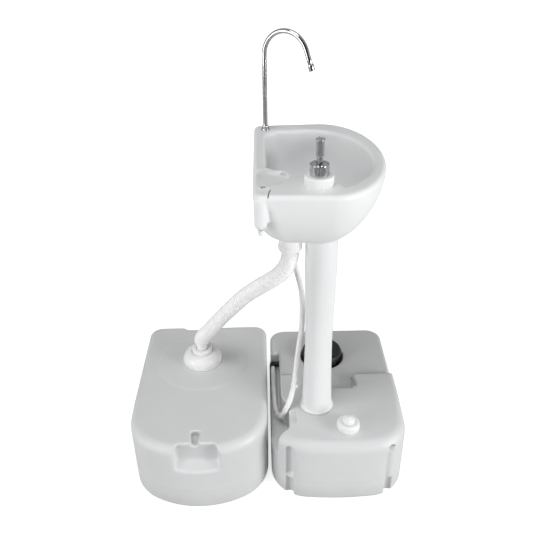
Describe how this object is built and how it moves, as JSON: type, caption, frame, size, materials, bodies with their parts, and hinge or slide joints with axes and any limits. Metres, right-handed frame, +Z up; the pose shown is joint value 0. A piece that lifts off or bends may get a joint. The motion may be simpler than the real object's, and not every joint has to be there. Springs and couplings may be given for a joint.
{
  "type": "wash_stand",
  "caption": "Portable camp wash stand with two moulded tanks, a plug-in column, a D-shaped basin, a foot pump, a gooseneck spout and a soap dispenser.",
  "frame": {"origin": "on the floor, at the centre of the bounding box seen from above, midway between the two tanks", "axes": "+Z up, +X towards the fresh-water tank and the basin's curved front, +Y towards the foot pump"},
  "size_m": [0.6626, 0.5182, 1.035],
  "materials": {
    "tank_plastic": "satin moulded, finely textured",
    "stand_plastic": "satin moulded",
    "white_plastic": "smooth",
    "black_plastic": "satin",
    "black_rubber": "matte",
    "chrome": "polished",
    "steel": "drawn"
  },
  "bodies": {
    "stand": {"fresh_tank": "tank_plastic", "grey_tank": "tank_plastic", "column": "stand_plastic", "basin": "stand_plastic", "filler_gasket": "black_rubber", "union_gasket": "black_rubber", "hose_adapter": "white_plastic", "drain_hose": "white_plastic", "drain_strainer": "chrome", "drain_gasket": "black_rubber", "supply_hose": "white_plastic", "upper_tie": "white_plastic", "lower_tie": "white_plastic", "hose_elbow": "black_plastic", "elbow_seal": "black_rubber", "delivery_tube": "steel", "pump_base": "black_plastic", "pump_bellows": "black_rubber", "pump_spring": "steel", "inlet_valve": "black_rubber", "outlet_valve": "black_rubber", "pump_lock_nut": "black_plastic", "suction_tube": "steel", "suction_strainer": "black_plastic", "faucet_flange": "chrome", "faucet_oring": "black_rubber", "faucet_shank": "steel", "shank_nut": "white_plastic", "hose_barb": "white_plastic", "corner_plug": "stand_plastic", "soap_bottle": "white_plastic", "soap_collar": "white_plastic", "soap_shroud": "chrome", "soap_cylinder": "white_plastic", "soap_spring": "steel", "check_ball": "steel", "dip_tube": "white_plastic"},
    "spout": {"faucet_spout": "chrome", "aerator": "chrome"},
    "pedal": {"foot_pedal": "black_plastic"},
    "cap": {"filler_cap": "white_plastic"},
    "vent": {"vent_knob": "white_plastic"},
    "union": {"union_nut": "white_plastic"},
    "drain_collar": {"drain_nut": "white_plastic"},
    "soap_pump": {"soap_plunger": "white_plastic"},
    "soap_button": {"soap_head": "chrome"}
  },
  "joints": [
    {"name": "spout_swivel", "type": "hinge", "parent": "stand", "child": "spout", "pos_m": [0.0065, 0.08885, 0.83], "axis": [0, 0, 1], "continuous": true},
    {"name": "pedal_press", "type": "slide", "parent": "stand", "child": "pedal", "axis": [0, 0, -1], "range_m": [0, 0.02], "stiffness_N_per_m": 1500, "springref_m": -0.01, "deforming": ["pump_bellows", "pump_spring"]},
    {"name": "cap_turn", "type": "hinge", "parent": "stand", "child": "cap", "pos_m": [0.1895, -0.15415, 0.185], "axis": [0, 0, 1], "range_deg": [0, 270]},
    {"name": "vent_turn", "type": "hinge", "parent": "cap", "child": "vent", "pos_m": [0.1895, -0.15415, 0.2], "axis": [0, 0, 1], "range_deg": [0, 90]},
    {"name": "union_turn", "type": "hinge", "parent": "stand", "child": "union", "pos_m": [-0.1705, 0.08985, 0.2], "axis": [0, 0, 1], "range_deg": [0, 270]},
    {"name": "drain_nut_turn", "type": "hinge", "parent": "stand", "child": "drain_collar", "pos_m": [0.0535, -0.07415, 0.64], "axis": [0, 0, 1], "range_deg": [0, 270]},
    {"name": "soap_press", "type": "slide", "parent": "stand", "child": "soap_pump", "axis": [0, 0, -1], "range_m": [0, 0.012], "stiffness_N_per_m": 400, "springref_m": -0.008, "deforming": ["soap_spring"]},
    {"name": "soap_head_turn", "type": "hinge", "parent": "soap_pump", "child": "soap_button", "pos_m": [0.0985, -0.20815, 0.86], "axis": [0, 0, 1], "continuous": true}
  ]
}
